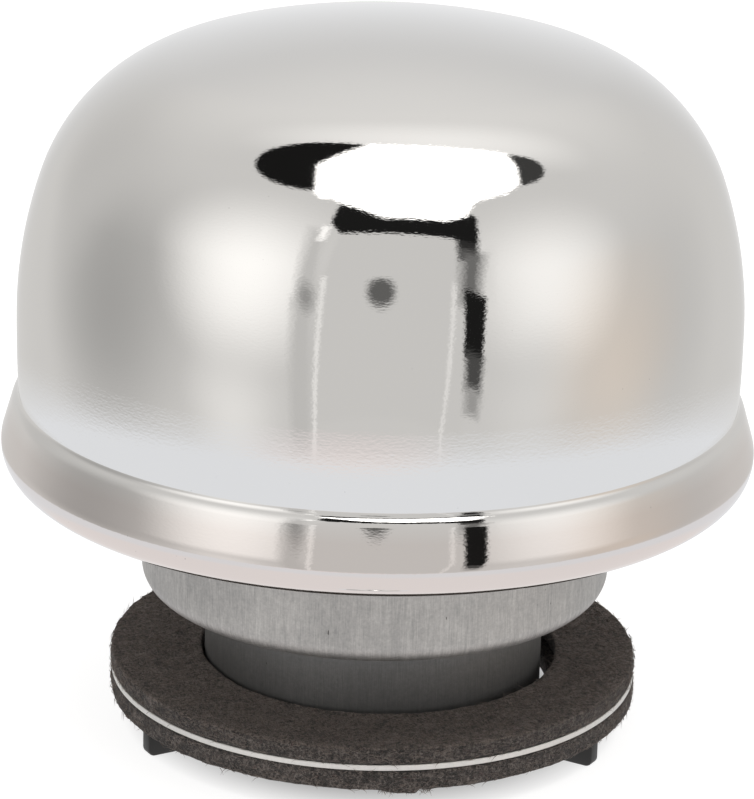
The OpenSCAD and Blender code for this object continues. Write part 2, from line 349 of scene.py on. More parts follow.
def chromePlate():
    material, s = newMaterial("chromePlate")
    x, y, z = s.place()
    radius = (x * x + y * y).root()
    # rings left by the polishing mop: they run round the axis, and fade in and out along it
    rings = s.noise(s.vector(radius * 0.9, z * 1.1, 0.0), 2.6, 5, 0.7)
    around = s.noise(s.vector(x * 0.02, y * 0.02, z * 0.35), 1.0, 2)
    # the plate's fine grain, drawn out a little along the rings
    grain = s.noise(s.vector(x * 1.7, y * 1.7, (z - radius) * 3.2), 1.0, 1, 0.5)
    patches = s.noise(s.vector(x, y, z), 0.05, 3)
    pit = ((s.noise(s.vector(x, y, z), 1.9, 2, 0.4) - 0.80) * 25).clamped()
    rolled = ((radius - finishPlaces["rimStart"]) * 1.2).clamped()
    clean = s.mix(rolled, (0.83, 0.825, 0.82, 1), (0.775, 0.735, 0.72, 1))
    height = grain + rings * around * 0.7
    finishMaterial(
        s, base_color=s.mix(pit, clean, grey(0.42)), metallic=1.0,
        roughness=0.01 + rings * 0.02 + patches * 0.02 + pit * 0.25,
        normal=s.bump(height, 0.0034 * mm),
    )
    return material


def bareAluminium():
    material, s = newMaterial("bareAluminium")
    x, y, z = s.place()
    radius = (x * x + y * y).root().atLeast(0.01)
    east, north = x / radius, y / radius
    # draw marks run down the wall, and outwards on the shoulder
    marks = s.noise(s.vector(east * 60, north * 60, z * 0.06), 1.0, 5, 0.7)
    fine = s.noise(s.vector(east * 240, north * 240, z * 0.35), 1.0, 4, 0.65)
    clouds = s.noise(s.vector(x, y, z), 0.09, 4, 0.6)
    spots = s.noise(s.vector(x, y, z), 0.9, 4, 0.7)
    nick = ((s.noise(s.vector(x * 2.2, y * 2.2, z * 0.8), 1.0, 1, 0.4) - 0.80) * 30).clamped()
    speckle = s.noise(s.vector(x, y, z), 2.6, 3, 0.8)
    shade = marks * 0.18 + fine * 0.27 + clouds * 0.2 + spots * 0.15 + speckle * 0.2
    bare = s.node("ValToRGB", {"stops": [
        (0.36, (0.330, 0.330, 0.330)),
        (0.50, (0.525, 0.516, 0.505)),
        (0.64, (0.730, 0.718, 0.700)),
    ]}, fac=shade)
    # painted shade: the neck under the ring is darkened, a little unevenly, for the shadow that the
    # cover and ring cast on it
    neck = ((finishPlaces["neckEdge"] - radius) * 2).clamped()
    paintedNeckShade = neck * (0.45 + clouds * 0.35)
    neckShaded = s.mix(paintedNeckShade, s.out(bare), (0.13, 0.133, 0.14, 1))
    finishMaterial(
        s, base_color=s.mix(nick * 0.8, neckShaded, (0.08, 0.075, 0.07, 1)), metallic=1.0,
        roughness=0.44 + shade * 0.2,
        normal=s.bump(marks * 0.4 + fine * 0.6 + spots * 0.8 + speckle * 0.6 - nick, 0.03 * mm),
    )
    return material


def sheetAluminium():
    material, s = newMaterial("sheetAluminium")
    x, y, z = s.place()
    radius = (x * x + y * y).root()
    shear = s.noise(s.vector(x * 0.9, y * 0.9, z * 0.4), 2.0, 4, 0.7)
    grain = s.noise(s.vector(x * 0.2, y * 4.0, z), 1.0, 4, 0.6)
    edge = ((radius - finishPlaces["plateEdge"]) * 8).clamped()
    marks = shear * edge + grain * (1 - edge)
    finishMaterial(
        s, base_color=s.mix(marks, (0.70, 0.685, 0.66, 1), (0.93, 0.915, 0.89, 1)), metallic=1.0,
        roughness=0.38 + marks * 0.2, normal=s.bump(marks, 0.02 * mm),
    )
    return material


def greyFelt():
    material, s = newMaterial("greyFelt")
    x, y, z = s.place()
    at = s.vector(x, y, z)
    clumps = s.noise(at, 0.30, 4, 0.6)
    # curled fibres: noise drawn out in three directions, so that its streaks cross each other
    first = s.noise(s.vector(x * 0.8 + y * 0.4, y * 2.2 - x * 0.9, z * 1.8), 1.0, 3, 0.7, 1.6)
    second = s.noise(s.vector(x * 2.4 + y * 0.9, y * 0.8 - x * 0.4, z * 1.8), 1.0, 3, 0.7, 1.6)
    third = s.noise(s.vector(x * 1.9, y * 1.5, z * 1.2), 1.0, 3, 0.7, 1.0)
    wool = first * 0.36 + second * 0.36 + third * 0.28
    wool = (wool - 0.5) * 6.0 + (clumps - 0.5) * 0.8 + 0.5
    tone = s.node("ValToRGB", {"stops": [
        (0.08, (0.014, 0.0108, 0.0093)),
        (0.38, (0.048, 0.0382, 0.0335)),
        (0.62, (0.096, 0.0785, 0.0700)),
        (0.92, (0.240, 0.205, 0.186)),
    ]}, fac=wool)
    red = ((s.noise(at, 1.1, 2, 0.5) - 0.64) * 9).clamped()
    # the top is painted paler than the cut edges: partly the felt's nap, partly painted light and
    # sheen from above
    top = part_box("upper_felt")[1][2] / mm
    paintedTopLight = ((z - (top - finishPlaces["napDepth"])) * 8).clamped()
    pale = s.mix(wool.clamped(), (0.030, 0.022, 0.0185, 1), (0.360, 0.292, 0.256, 1))
    mixed = s.mix(paintedTopLight * 0.85, s.out(tone), pale)
    finishMaterial(
        s, base_color=s.mix(red * 0.5, mixed, (0.085, 0.033, 0.030, 1)),
        roughness=0.96, sheen_weight=0.15, sheen_roughness=0.5, normal=s.bump(wool, 0.3 * mm),
    )
    return material


def feltFibre():
    material, s = newMaterial("feltFibre")
    x, y, z = s.place()
    tone = s.noise(s.vector(x, y, z), 0.9, 3, 0.7)
    colour = s.mix(tone, (0.035, 0.027, 0.023, 1), (0.34, 0.285, 0.255, 1))
    finishMaterial(s, base_color=colour, roughness=0.85)
    return material


def blackEnamel():
    material, s = newMaterial("blackEnamel")
    x, y, z = s.place()
    peel = s.noise(s.vector(x, y, z), 0.7, 3)
    dust = s.noise(s.vector(x, y, z), 4.0, 3, 0.7)
    finishMaterial(
        s, base_color=s.mix(dust, grey(0.007), (0.020, 0.019, 0.018, 1)),
        roughness=0.32 + dust * 0.22, normal=s.bump(peel, 0.03 * mm),
    )
    return material


def platedSteel(name, dark, light):
    material, s = newMaterial(name)
    x, y, z = s.place()
    clouds = s.noise(s.vector(x, y, z), 0.22, 4, 0.6)
    grain = s.noise(s.vector(x * 0.6, y * 0.6, z * 6.0), 1.0, 4, 0.6)
    wear = clouds * 0.6 + grain * 0.4
    finishMaterial(
        s, base_color=s.mix(wear, (*dark, 1), (*light, 1)), metallic=1.0,
        roughness=0.24 + wear * 0.25, normal=s.bump(grain, 0.015 * mm),
    )
    return material


chrome = chromePlate()
aluminium = bareAluminium()
sheet = sheetAluminium()
felt = greyFelt()
fibre = feltFibre()
enamel = blackEnamel()
zinc = platedSteel("zincPlate", (0.40, 0.40, 0.38), (0.70, 0.70, 0.67))
springSteel = platedSteel("springSteel", (0.035, 0.035, 0.037), (0.11, 0.11, 0.115))
wireSteel = platedSteel("wireSteel", (0.30, 0.29, 0.27), (0.58, 0.57, 0.53))
meshShade = platedSteel("meshShade", (0.03, 0.029, 0.027), (0.09, 0.088, 0.082))
print("materials made")


# cover

coverShape = {
    "wallThickness": 0.8 * mm,
    "crownRadius": 95.3 * mm,
    "shoulderRadius": 26 * mm,
    "shoulderEnd": 71,            # degrees from straight up
    "upperWallRadius": 58 * mm,
    "lowerWallRadius": 180 * mm,
    "lowerWallEnd": 92.5,
    "hollowRadius": 1 * mm,       # hollow under the wall, where the rim steps out
    "edgeRadius": 2.5 * mm,
    "edgeTilt": 45,
    "flareTilt": 73.4,
    "rimFlare": 2.15 * mm,
    "rollRadius": 4.3 * mm,
    "rollEnd": 190,               # the rim is rolled under past flat
    "steps": 192,
}


def coverOutline(depth, fine):
    c = coverShape
    low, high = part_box("cover")
    rimR, topZ = high[0], high[2]
    wallR = rimR - c["rimFlare"]
    crownR, shoulderR = c["crownRadius"], c["shoulderRadius"]
    upperR, lowerR = c["upperWallRadius"], c["lowerWallRadius"]
    sharpR, hollowR = c["edgeRadius"], c["hollowRadius"]
    bend = math.radians(c["shoulderEnd"])
    flare, tilt = math.radians(c["flareTilt"]), math.radians(c["edgeTilt"])
    shoulderX = wallR - upperR + (upperR - shoulderR) * math.sin(bend)
    crownEnd = math.asin(shoulderX / (crownR - shoulderR))
    crownC = (0, topZ - crownR)
    shoulderC = (shoulderX, crownC[1] + (crownR - shoulderR) * math.cos(crownEnd))
    upperC = (wallR - upperR, shoulderC[1] - (upperR - shoulderR) * math.cos(bend))
    rollC = (rimR - c["rollRadius"], low[2] + c["rollRadius"])
    flareEnd = polar(rollC, c["rollRadius"], c["flareTilt"])
    lowerEnd = math.radians(c["lowerWallEnd"])
    hollowX = wallR - lowerR + (lowerR + hollowR) * math.sin(lowerEnd)
    edgeX = hollowX - (hollowR + sharpR) * math.sin(tilt)
    startX = edgeX + sharpR * math.sin(flare)
    startZ = flareEnd[1] + (flareEnd[0] - startX) * math.tan(flare)
    edgeC = (edgeX, startZ - sharpR * math.cos(flare))
    hollowC = polar(edgeC, hollowR + sharpR, c["edgeTilt"])
    lowerC = (wallR - lowerR, hollowC[1] - (lowerR + hollowR) * math.cos(lowerEnd))
    crownTurn = math.degrees(crownEnd)
    return (
        [(0, topZ - depth)]
        + arc(crownC, crownR - depth, 0, crownTurn, 14 * fine, True)
        + arc(shoulderC, shoulderR - depth, crownTurn, c["shoulderEnd"], 20 * fine, True)
        + arc(upperC, upperR - depth, c["shoulderEnd"], 90, 9 * fine, True)
        + arc(lowerC, lowerR - depth, 90, c["lowerWallEnd"], 4 * fine)
        + arc(hollowC, -hollowR - depth, c["lowerWallEnd"], c["edgeTilt"], 4 * fine, True)
        + arc(edgeC, sharpR - depth, c["edgeTilt"], c["flareTilt"], 3 * fine, True)
        + arc(rollC, c["rollRadius"] - depth, c["flareTilt"], 90, 2 * fine)
        + arc(rollC, c["rollRadius"] - depth, 90, 180, 6 * fine, True)
        + arc(rollC, c["rollRadius"] - depth, 180, c["rollEnd"], 2, True)
    )


def makeCover():
    outside = coverOutline(0, 2)
    inside = coverOutline(coverShape["wallThickness"], 1)
    cover = lathe(outside + inside[::-1], steps=coverShape["steps"], closed=False)
    finishPiece(cover, "coverShell", chrome, "cover_assembly", ["cover"])


makeCover()
brokenEdgeCopy("bridge", "coverBridge", zinc, "cover_assembly", 0.35 * mm, 3)
brokenEdgeCopy("cover_nut", "coverNut", zinc, "cover_assembly")
print("cover made")


# cup

cupShape = {
    "wallThickness": 0.9 * mm,
    "outerRadius": 31.3 * mm,
    "shoulderHeight": 19.3 * mm,
    "cornerRadius": 2.6 * mm,
    "beadRadius": 1.1 * mm,
    "neckRadius": 22.75 * mm,
    "neckCorner": 1.2 * mm,
    "steps": 160,
}


def makeCup():
    c = cupShape
    low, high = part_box("cup")
    wall, outerR, shoulderZ = c["wallThickness"], c["outerRadius"], c["shoulderHeight"]
    innerR = outerR - wall
    cornerC = (outerR - c["cornerRadius"], shoulderZ + c["cornerRadius"])
    neckC = (c["neckRadius"] + c["neckCorner"], shoulderZ - c["neckCorner"])
    beadC = (innerR + c["beadRadius"], high[2] - c["beadRadius"])
    beadStart = 180 - math.degrees(math.asin((outerR - beadC[0]) / c["beadRadius"]))
    outline = (
        [(c["neckRadius"] - wall, low[2]), (c["neckRadius"], low[2])]
        + arc(neckC, c["neckCorner"], -90, 0, 6)
        + arc(cornerC, c["cornerRadius"], 180, 90, 12)
        + arc(beadC, c["beadRadius"], beadStart, -90, 20)
        + arc(cornerC, c["cornerRadius"] - wall, 90, 180, 8)
        + arc(neckC, c["neckCorner"] + wall, 0, -90, 6)
    )
    cup = lathe(outline, steps=c["steps"])
    finishPiece(cup, "cupShell", aluminium, "base", ["cup"])


makeCup()
print("cup made")


# spider

spiderShape = {
    "armAngles": (90, 210, 330),
    "armThickness": 2 * mm,
    "armHeight": 3.8 * mm,
    "cornerRadius": 0.9 * mm,
    "edgeRadius": 0.25 * mm,
    "hubRadius": 7.5 * mm,
    "boltBore": 4 * mm,
    "studBore": 3.05 * mm,
    "boltDepth": 6 * mm,
    "chamfer": 0.5 * mm,
    "neckSeat": (21.65 * mm, 22.95 * mm),
    "neckSeatHeight": 3 * mm,
    "armRoot": 6 * mm,            # the arms start inside the hub's wall
}


def makeArm(reach):
    c = spiderShape
    root, height = c["armRoot"], c["armHeight"]
    deselectAll()
    bpy.ops.mesh.primitive_cube_add(
        size=1, location=((root + reach) / 2, 0, height / 2),
        scale=(reach - root, c["armThickness"], height),
    )
    arm = bpy.context.object
    placeFixed(arm)
    bpy.ops.object.mode_set(mode="EDIT")
    bpy.ops.mesh.select_all(action="DESELECT")
    bpy.ops.object.mode_set(mode="OBJECT")
    for edge in arm.data.edges:
        ends = [arm.data.vertices[i].co for i in edge.vertices]
        edge.select = all(end.x > reach - 0.1 * mm and end.z < 0.1 * mm for end in ends)
    bpy.ops.object.mode_set(mode="EDIT")
    bpy.ops.mesh.select_mode(type="EDGE")
    bpy.ops.mesh.bevel(offset=c["cornerRadius"], segments=6, affect="EDGES")
    bpy.ops.mesh.select_mode(type="VERT")
    bpy.ops.object.mode_set(mode="OBJECT")
    bevelEdges(arm, c["edgeRadius"])
    # the neck stands in a seat cut across the arm
    inner, outer = c["neckSeat"]
    top = 2 * height
    seat = lathe([
        (inner, c["neckSeatHeight"]), (outer, c["neckSeatHeight"]), (outer, top), (inner, top),
    ])
    applyModifier(arm, "BOOLEAN", operation="DIFFERENCE", solver="EXACT", object=seat)
    bpy.data.objects.remove(seat)
    return arm


def makeSpider():
    c = spiderShape
    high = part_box("spider")[1]
    hubR, top, cut = c["hubRadius"], high[2], c["chamfer"]
    hub = lathe([
        (c["boltBore"] + cut, 0), (hubR - cut, 0), (hubR, cut), (hubR, top - cut),
        (hubR - cut, top), (c["studBore"] + cut, top), (c["studBore"], top - cut),
        (c["studBore"], c["boltDepth"]), (c["boltBore"], c["boltDepth"]), (c["boltBore"], cut),
    ], steps=64)
    firstArm = makeArm(high[1])
    arms = []
    for angle in c["armAngles"]:
        arm = ownCopy(firstArm)
        arm.rotation_euler.z = math.radians(angle)
        placeFixed(arm)
        arms.append(arm)
    bpy.data.objects.remove(firstArm)
    spider = joined(hub, *arms)
    finishPiece(spider, "spiderFrame", enamel, "base", ["spider"])


makeSpider()
print("spider made")


# stud, nuts and washers

studShape = {
    "majorRadius": 3 * mm,
    "minorRadius": 2.55 * mm,
    "pitch": 1 * mm,
    "chamfer": 0.6 * mm,
    "threads": ((6 * mm, 24 * mm), (79 * mm, 92 * mm)),    # lowest and highest point of each
}


def makeStud():
    c = studShape
    low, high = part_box("centre_stud")
    bottom, top = low[2], high[2]
    major, minor, cut = c["majorRadius"], c["minorRadius"], c["chamfer"]
    lowerEnd, upperStart = c["threads"][0][1], c["threads"][1][0]
    stud = lathe([
        (0, bottom), (minor - cut / 2, bottom), (minor, bottom + cut),
        (minor, lowerEnd - cut), (major, lowerEnd), (major, upperStart), (minor, upperStart + cut),
        (minor, top - cut), (minor - cut / 2, top), (0, top),
    ], steps=64, closed=False)
    ridges = []
    for start, end in c["threads"]:
        first = start + cut
        turns = math.floor((end - start - 3 * cut) / c["pitch"])
        section = [
            (minor - 0.1 * mm, first), (major, first + 0.38 * c["pitch"]),
            (major, first + 0.50 * c["pitch"]), (minor - 0.1 * mm, first + 0.88 * c["pitch"]),
        ]
        ridge = coil(section, 0, turns, turns * c["pitch"], 32)
        closeEnds(ridge, len(section))
        ridges.append(ridge)
    stud = joined(stud, *ridges)
    finishPiece(stud, "centreStud", zinc, "base", ["centre_stud"])


makeStud()
brokenEdgeCopy("support_plate", "supportPlate", zinc, "base")
brokenEdgeCopy("flat_washer", "flatWasher", zinc, "base")
brokenEdgeCopy("spring_washer", "springWasher", springSteel, "base", 0.08 * mm)
brokenEdgeCopy("clamp_nut", "clampNut", zinc, "base")
brokenEdgeCopy("spacer_tube", "spacerTube", zinc, "base")
print("stud, nuts and washers made")


# pressure spring

springShape = {
    "meanRadius": 10 * mm,
    "wireRadius": 0.8 * mm,
    "turns": 5.5,
    "flatTurn": 0.8,              # part of a turn that lies flat at each end
    "sides": 14,
    "stepsPerTurn": 56,
}


def makeSpring():
    c = springShape
    low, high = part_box("pressure_spring")
    wireR, flat = c["wireRadius"], c["flatTurn"]
    bottom, top = low[2] + wireR, high[2] - wireR
    active = c["turns"] - 2 * flat
    stretches = [
        # height, turns before it, turns, rise
        (bottom, 0, flat, 0),
        (bottom, flat, active, top - bottom),
        (top, flat + active, flat, 0),
    ]
    coils = []
    for height, before, turns, rise in stretches:
        section = [
            polar((c["meanRadius"], height), wireR, 360 * i / c["sides"]) for i in range(c["sides"])
        ]
        coils.append(coil(section, before * math.tau, turns, rise, c["stepsPerTurn"]))
    spring = joined(*coils)
    closeEnds(spring, c["sides"])
    finishPiece(
        spring, "pressureSpring", springSteel, "spring_stack",
        ["pressure_spring"], smooth=50,
    )


makeSpring()
brokenEdgeCopy("spring_seat", "springSeat", zinc, "spring_stack", 0.2 * mm, 3)
print("spring made")


# filter element

meshShape = {
    "boreRadius": 15 * mm,
    "wireRadius": 0.17 * mm,
    "wireSides": 5,
    "wires": 72,                  # each way round the sleeve
    "turn": 0.2,                  # part of a turn that a wire makes from end to end
    "steps": 90,                  # in a whole turn
}


# all the wires that wind one way on one skin of the sleeve
def makeWires(skin, low, high):
    c = meshShape
    wireR = c["wireRadius"]
    section = [
        polar((skin, low + wireR), wireR, 360 * i / c["wireSides"]) for i in range(c["wireSides"])
    ]
    wires = coil(section, 0, c["turn"], high - low - 2 * wireR, c["steps"])
    closeEnds(wires, c["wireSides"])
    pick(wires)
    bpy.ops.object.mode_set(mode="EDIT")
    bpy.ops.mesh.select_all(action="SELECT")
    bpy.ops.mesh.spin(
        steps=c["wires"], dupli=True, angle=math.tau, center=(0, 0, 0), axis=(0, 0, 1),
    )
    bpy.ops.object.mode_set(mode="OBJECT")
    return wires


def makeWireMesh():
    c = meshShape
    low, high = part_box("mesh_pack")
    wireR = c["wireRadius"]
    outer, inner = high[0], c["boreRadius"]
    # painted shade: a dark solid fills the sleeve between the wire skins, standing in for the shade
    # deep inside the mesh pack
    core = lathe([
        (inner + 3 * wireR, low[2]), (outer - 3 * wireR, low[2]),
        (outer - 3 * wireR, high[2]), (inner + 3 * wireR, high[2]),
    ], steps=96)
    finishPiece(core, "wireMeshShadeCore", meshShade, "element", ["mesh_pack"])
    wires = []
    for skin in (outer - wireR, inner + wireR):
        wire = makeWires(skin, low[2], high[2])
        crossing = ownCopy(wire)
        crossing.scale.x = -1
        placeFixed(crossing)
        recalculateNormals(crossing, weldGap / 10)
        wires += [wire, crossing]
    wires = joined(*wires)
    finishPiece(wires, "wireMeshWires", wireSteel, "element", ["mesh_pack"], smooth=80)


makeWireMesh()
for nodeName, pieceName, edgeWidth in (
    ("lower_end_cap", "lowerEndCap", 0.25 * mm),
    ("upper_end_cap", "upperEndCap", 0.25 * mm),
    ("inner_tube", "innerTube", 0.08 * mm),
    ("outer_screen", "outerScreen", 0.08 * mm),
):
    brokenEdgeCopy(nodeName, pieceName, zinc, "element", edgeWidth)
print("filter element made")


# felt rings and seals

ringShape = {
    "boreRadius": 23.78 * mm,
    "boreShift": 0.78 * mm,      # the ring's hole is cut a little to one side
    "plateStep": 1.3 * mm,       # the plate's hole is wider than the upper felt's
    "lowerStep": -0.5 * mm,      # the lower felt's hole is narrower, and better centred
    "lowerShift": 0.35 * mm,
    "edgeWander": 0.12 * mm,     # how far the felt's edge wanders
    "lumps": 0.12 * mm,          # lumps on its faces
    "edgeRound": 0.35 * mm,
    "rings": 34,
    "steps": 300,
    "plateBevel": 0.1 * mm,
}

sealShape = {
    "lowerBore": 15 * mm,
    "upperBore": 4.9 * mm,
}

raggedSpot = {                   # where the lower felt is torn and hangs down a little
    "across": 4.5 * mm,
    "halfWidth": 3.4 * mm,
    "drop": 0.8 * mm,
}


def feltOutline(low, high, inner, outer, roundR, rings):
    z0, z1 = low + 0.02 * mm, high - 0.02 * mm
    flat = outer - inner - 2 * roundR
    side = z1 - z0 - 2 * roundR
    return (
        [(inner + roundR + flat * i / rings, z0) for i in range(rings + 1)]
        + arc((outer - roundR, z0 + roundR), roundR, 180, 90, 4, True)
        + [(outer, z0 + roundR + side * i / 8) for i in range(1, 9)]
        + arc((outer - roundR, z1 - roundR), roundR, 90, 0, 4, True)
        + [(outer - roundR - flat * i / rings, z1) for i in range(1, rings + 1)]
        + arc((inner + roundR, z1 - roundR), roundR, 0, -90, 4, True)
        + [(inner, z1 - roundR - side * i / 4) for i in range(1, 5)]
        + arc((inner + roundR, z0 + roundR), roundR, -90, -180, 4, True)[:-1]
    )


# how far a point moves when the hole moves by shift and the outer edge stays
def moved(radius, inner, outer, shift):
    return shift * (outer - radius) / (outer - inner)


# the felt's faces are lumpy, and its cut edges wander in and out
# the factors on x, y and z are about the number of lumps in a metre
def roughen(piece, low, high, inner, outer, seed, shift, ragged):
    middle = (low + high) / 2
    for vertex in piece.data.vertices:
        x, y, z = vertex.co
        radius = math.hypot(x, y)
        vertex.co.x += moved(radius, inner, outer, shift)
        lump = noise.noise(Vector((x * 1300, y * 1300, z * 900 - seed)))
        lump += 0.6 * noise.noise(Vector((x * 330, y * 330, z * 300 - seed)))
        up = 1 if z > middle else -1
        vertex.co.z += up * ringShape["lumps"] * (min(lump, 0.4) - 0.4)
        if inner + 1 * mm < radius < outer - 1.2 * mm:
            continue
        edge = noise.noise(Vector((x * 160, y * 160, z * 300 + seed)))
        edge += 0.7 * noise.noise(Vector((x * 700, y * 700, z * 900 + seed)))
        side = 1 if radius > inner + 1 * mm else -1
        grow = 1 + ringShape["edgeWander"] * (min(edge, 1) - 1) * side / radius
        vertex.co.x *= grow
        vertex.co.y *= grow
        off = abs(x - raggedSpot["across"]) / raggedSpot["halfWidth"]
        if ragged and side > 0 and y < 0 and z < middle and off < 1:
            tear = 0.6 + 0.8 * noise.noise(Vector((x * 1500, y * 900, 2.5)))
            vertex.co.z -= raggedSpot["drop"] * tear * math.cos(off * math.pi / 2)


def makeFelt(node, name, inner, body, seed, rings, steps, shift=0.0, ragged=False):
    low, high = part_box(node)
    outline = feltOutline(low[2], high[2], inner, high[0], ringShape["edgeRound"], rings)
    piece = lathe(outline, steps=steps)
    roughen(piece, low[2], high[2], inner, high[0], seed, shift, ragged)
    finishPiece(piece, name, felt, body, [node], smooth=60)


def makeRingPlate():
    low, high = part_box("ring_plate")
    bevel = ringShape["plateBevel"]
    inner, outer = ringShape["boreRadius"] + ringShape["plateStep"], high[0]
    plate = lathe([
        (inner, low[2] + bevel), (inner + bevel, low[2]), (outer - bevel, low[2]),
        (outer, low[2] + bevel), (outer, high[2] - bevel), (outer - bevel, high[2]),
        (inner + bevel, high[2]), (inner, high[2] - bevel),
    ], steps=240)
    for vertex in plate.data.vertices:
        radius = math.hypot(vertex.co.x, vertex.co.y)
        vertex.co.x += moved(radius, inner, outer, ringShape["boreShift"])
    finishPiece(plate, "ringPlate", sheet, "ring_assembly", ["ring_plate"])


makeFelt("upper_felt", "upperFelt", ringShape["boreRadius"], "ring_assembly", 3.1,
         ringShape["rings"], ringShape["steps"], ringShape["boreShift"])
makeFelt("lower_felt", "lowerFelt", ringShape["boreRadius"] + ringShape["lowerStep"], "ring_assembly",
         8.7, ringShape["rings"], ringShape["steps"], ringShape["lowerShift"], ragged=True)
makeFelt("lower_seal", "lowerSeal", sealShape["lowerBore"], "element", 1.9, 16, 160)
makeFelt("upper_seal", "upperSeal", sealShape["upperBore"], "element", 5.3, 10, 96)
makeRingPlate()
print("felt rings and seals made")


# loose fibres on the felt rings

fuzzShape = {
    "thickness": 0.052 * mm,
    "faceHairs": 2600,
    "edgeHairs": 1500,            # on each ring's cut edge
    "raggedHairs": 90,
    "shortest": 0.5 * mm,
    "longest": 1.9 * mm,
    "segments": 5,
    "boreMargin": 0.9 * mm,       # no fibre starts nearer the hole than this
    "rimMargin": 0.5 * mm,
    "faceDepth": 0.06 * mm,       # how deep in the felt the fibres start
    "edgeDepth": 0.12 * mm,
    "seed": 41,
}


# a fibre is a thin three-sided prism along a curved path, with a point at its far end
def addFibre(points, faces, start, heading, up, length, bend, chance):
    c = fuzzShape
    across = heading.cross(up).normalized()
    position = start.copy()
    direction = heading.normalized()
    first = len(points)
    for i in range(c["segments"] + 1):
        thick = c["thickness"] * (1 - 0.8 * i / c["segments"])
        for k in range(3):
            turn = math.tau * k / 3
            points.append(position + thick * (across * math.cos(turn) + up * math.sin(turn)))
        direction = (direction + across * bend * chance.uniform(0.4, 1.6)).normalized()
        position = position + direction * (length / c["segments"])
    for i in range(c["segments"]):
        for k in range(3):
            a, b = first + 3 * i + k, first + 3 * i + (k + 1) % 3
            faces.append((a, a + 3, b + 3, b))
    last = first + 3 * c["segments"]
    faces.append((first, first + 1, first + 2))
    faces.append((last, last + 2, last + 1))


def ringPoint(radius, angle, height):
    return Vector((radius * math.cos(angle), radius * math.sin(angle), height))


def growTopHairs(points, faces, chance):
    c = fuzzShape
    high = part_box("upper_felt")[1]
    inner, outer = ringShape["boreRadius"] + c["boreMargin"], high[0]
    for i in range(c["faceHairs"]):
        angle = chance.uniform(0, math.tau)
        radius = math.sqrt(chance.uniform(inner ** 2, (outer - c["rimMargin"]) ** 2))
        start = ringPoint(radius, angle, high[2] - c["faceDepth"])
        lie = chance.uniform(0, math.tau)
        heading = Vector((math.cos(lie), math.sin(lie), chance.uniform(0.0, 0.14)))
        length = chance.uniform(c["shortest"], c["longest"])
        if radius + length > outer:
            heading = Vector((-start.y, start.x, 0)).normalized() * chance.choice((-1, 1))
        bend = chance.uniform(-0.35, 0.35)
        addFibre(points, faces, start, heading, Vector((0, 0, 1)), length, bend, chance)


def growEdgeHairs(points, faces, chance, node):
    c = fuzzShape
    low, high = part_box(node)
    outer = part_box("upper_felt")[1][0]
    for i in range(c["edgeHairs"]):
        angle = chance.uniform(0, math.tau)
        height = chance.uniform(low[2] + 0.15 * mm, high[2] - 0.1 * mm)
        out = ringPoint(1, angle, 0)
        along = Vector((-out.y, out.x, 0)) * chance.choice((-1, 1))
        heading = along + out * chance.uniform(0.02, 0.30)
        heading += Vector((0, 0, chance.uniform(-0.5, 0.5)))
        length = chance.uniform(c["shortest"], 0.7 * c["longest"])
        start = ringPoint(outer - c["edgeDepth"], angle, height)
        addFibre(points, faces, start, heading, out, length, chance.uniform(-0.2, 0.2), chance)


def growRaggedHairs(points, faces, chance):
    outer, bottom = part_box("upper_felt")[1][0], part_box("lower_felt")[0][2]
    for i in range(fuzzShape["raggedHairs"]):
        x = raggedSpot["across"] + chance.uniform(-1, 1) * raggedSpot["halfWidth"]
        radius = outer - chance.uniform(0.15, 0.9) * mm
        start = Vector((x, -math.sqrt(radius ** 2 - x ** 2), bottom + 0.1 * mm))
        heading = Vector((chance.uniform(-1, 1), chance.uniform(-0.4, 0.2), chance.uniform(-1, -0.2)))
        length = chance.uniform(0.5, 1.1) * mm
        bend = chance.uniform(-0.4, 0.4)
        addFibre(points, faces, start, heading, Vector((0, -1, 0)), length, bend, chance)


def makeFuzz():
    chance = random.Random(fuzzShape["seed"])
    points, faces = [], []
    growTopHairs(points, faces, chance)
    growEdgeHairs(points, faces, chance, "upper_felt")
    growEdgeHairs(points, faces, chance, "lower_felt")
    growRaggedHairs(points, faces, chance)
    mesh = bpy.data.meshes.new("feltFibres")
    mesh.from_pydata([tuple(point) for point in points], [], faces)
    fuzz = bpy.data.objects.new("feltFibres", mesh)
    bpy.context.collection.objects.link(fuzz)
    finishPiece(fuzz, "feltFibres", fibre, "ring_assembly", smooth=0)


makeFuzz()
print("felt fibres made")


# studio

cameraShape = {
    "elevation": 19.33,           # degrees above the horizon
    "roll": 1.36,
    "distance": 558.7 * mm,
    "target": (-0.2 * mm, 0, 44.6 * mm),
    "lens": 189.5,
    "sensorWidth": 36,
    "nearest": 0.01,
    "farthest": 50,
}


def makeCamera():
    c = cameraShape
    rise, roll = math.radians(c["elevation"]), math.radians(c["roll"])
    back = Vector((0, -math.cos(rise), math.sin(rise)))
    right = Vector((1, 0, 0))
    up = back.cross(right)
    turnedRight = right * math.cos(roll) + up * math.sin(roll)
    turnedUp = up * math.cos(roll) - right * math.sin(roll)
    place = Vector(c["target"]) + back * c["distance"]
    deselectAll()
    bpy.ops.object.camera_add(location=place)
    camera = bpy.context.object
    turn = Matrix((turnedRight, turnedUp, back)).transposed()
    camera.matrix_world = Matrix.Translation(place) @ turn.to_4x4()
    camera.data.lens = c["lens"]
    camera.data.sensor_width = c["sensorWidth"]
    camera.data.clip_start = c["nearest"]
    camera.data.clip_end = c["farthest"]
    bpy.context.scene.camera = camera


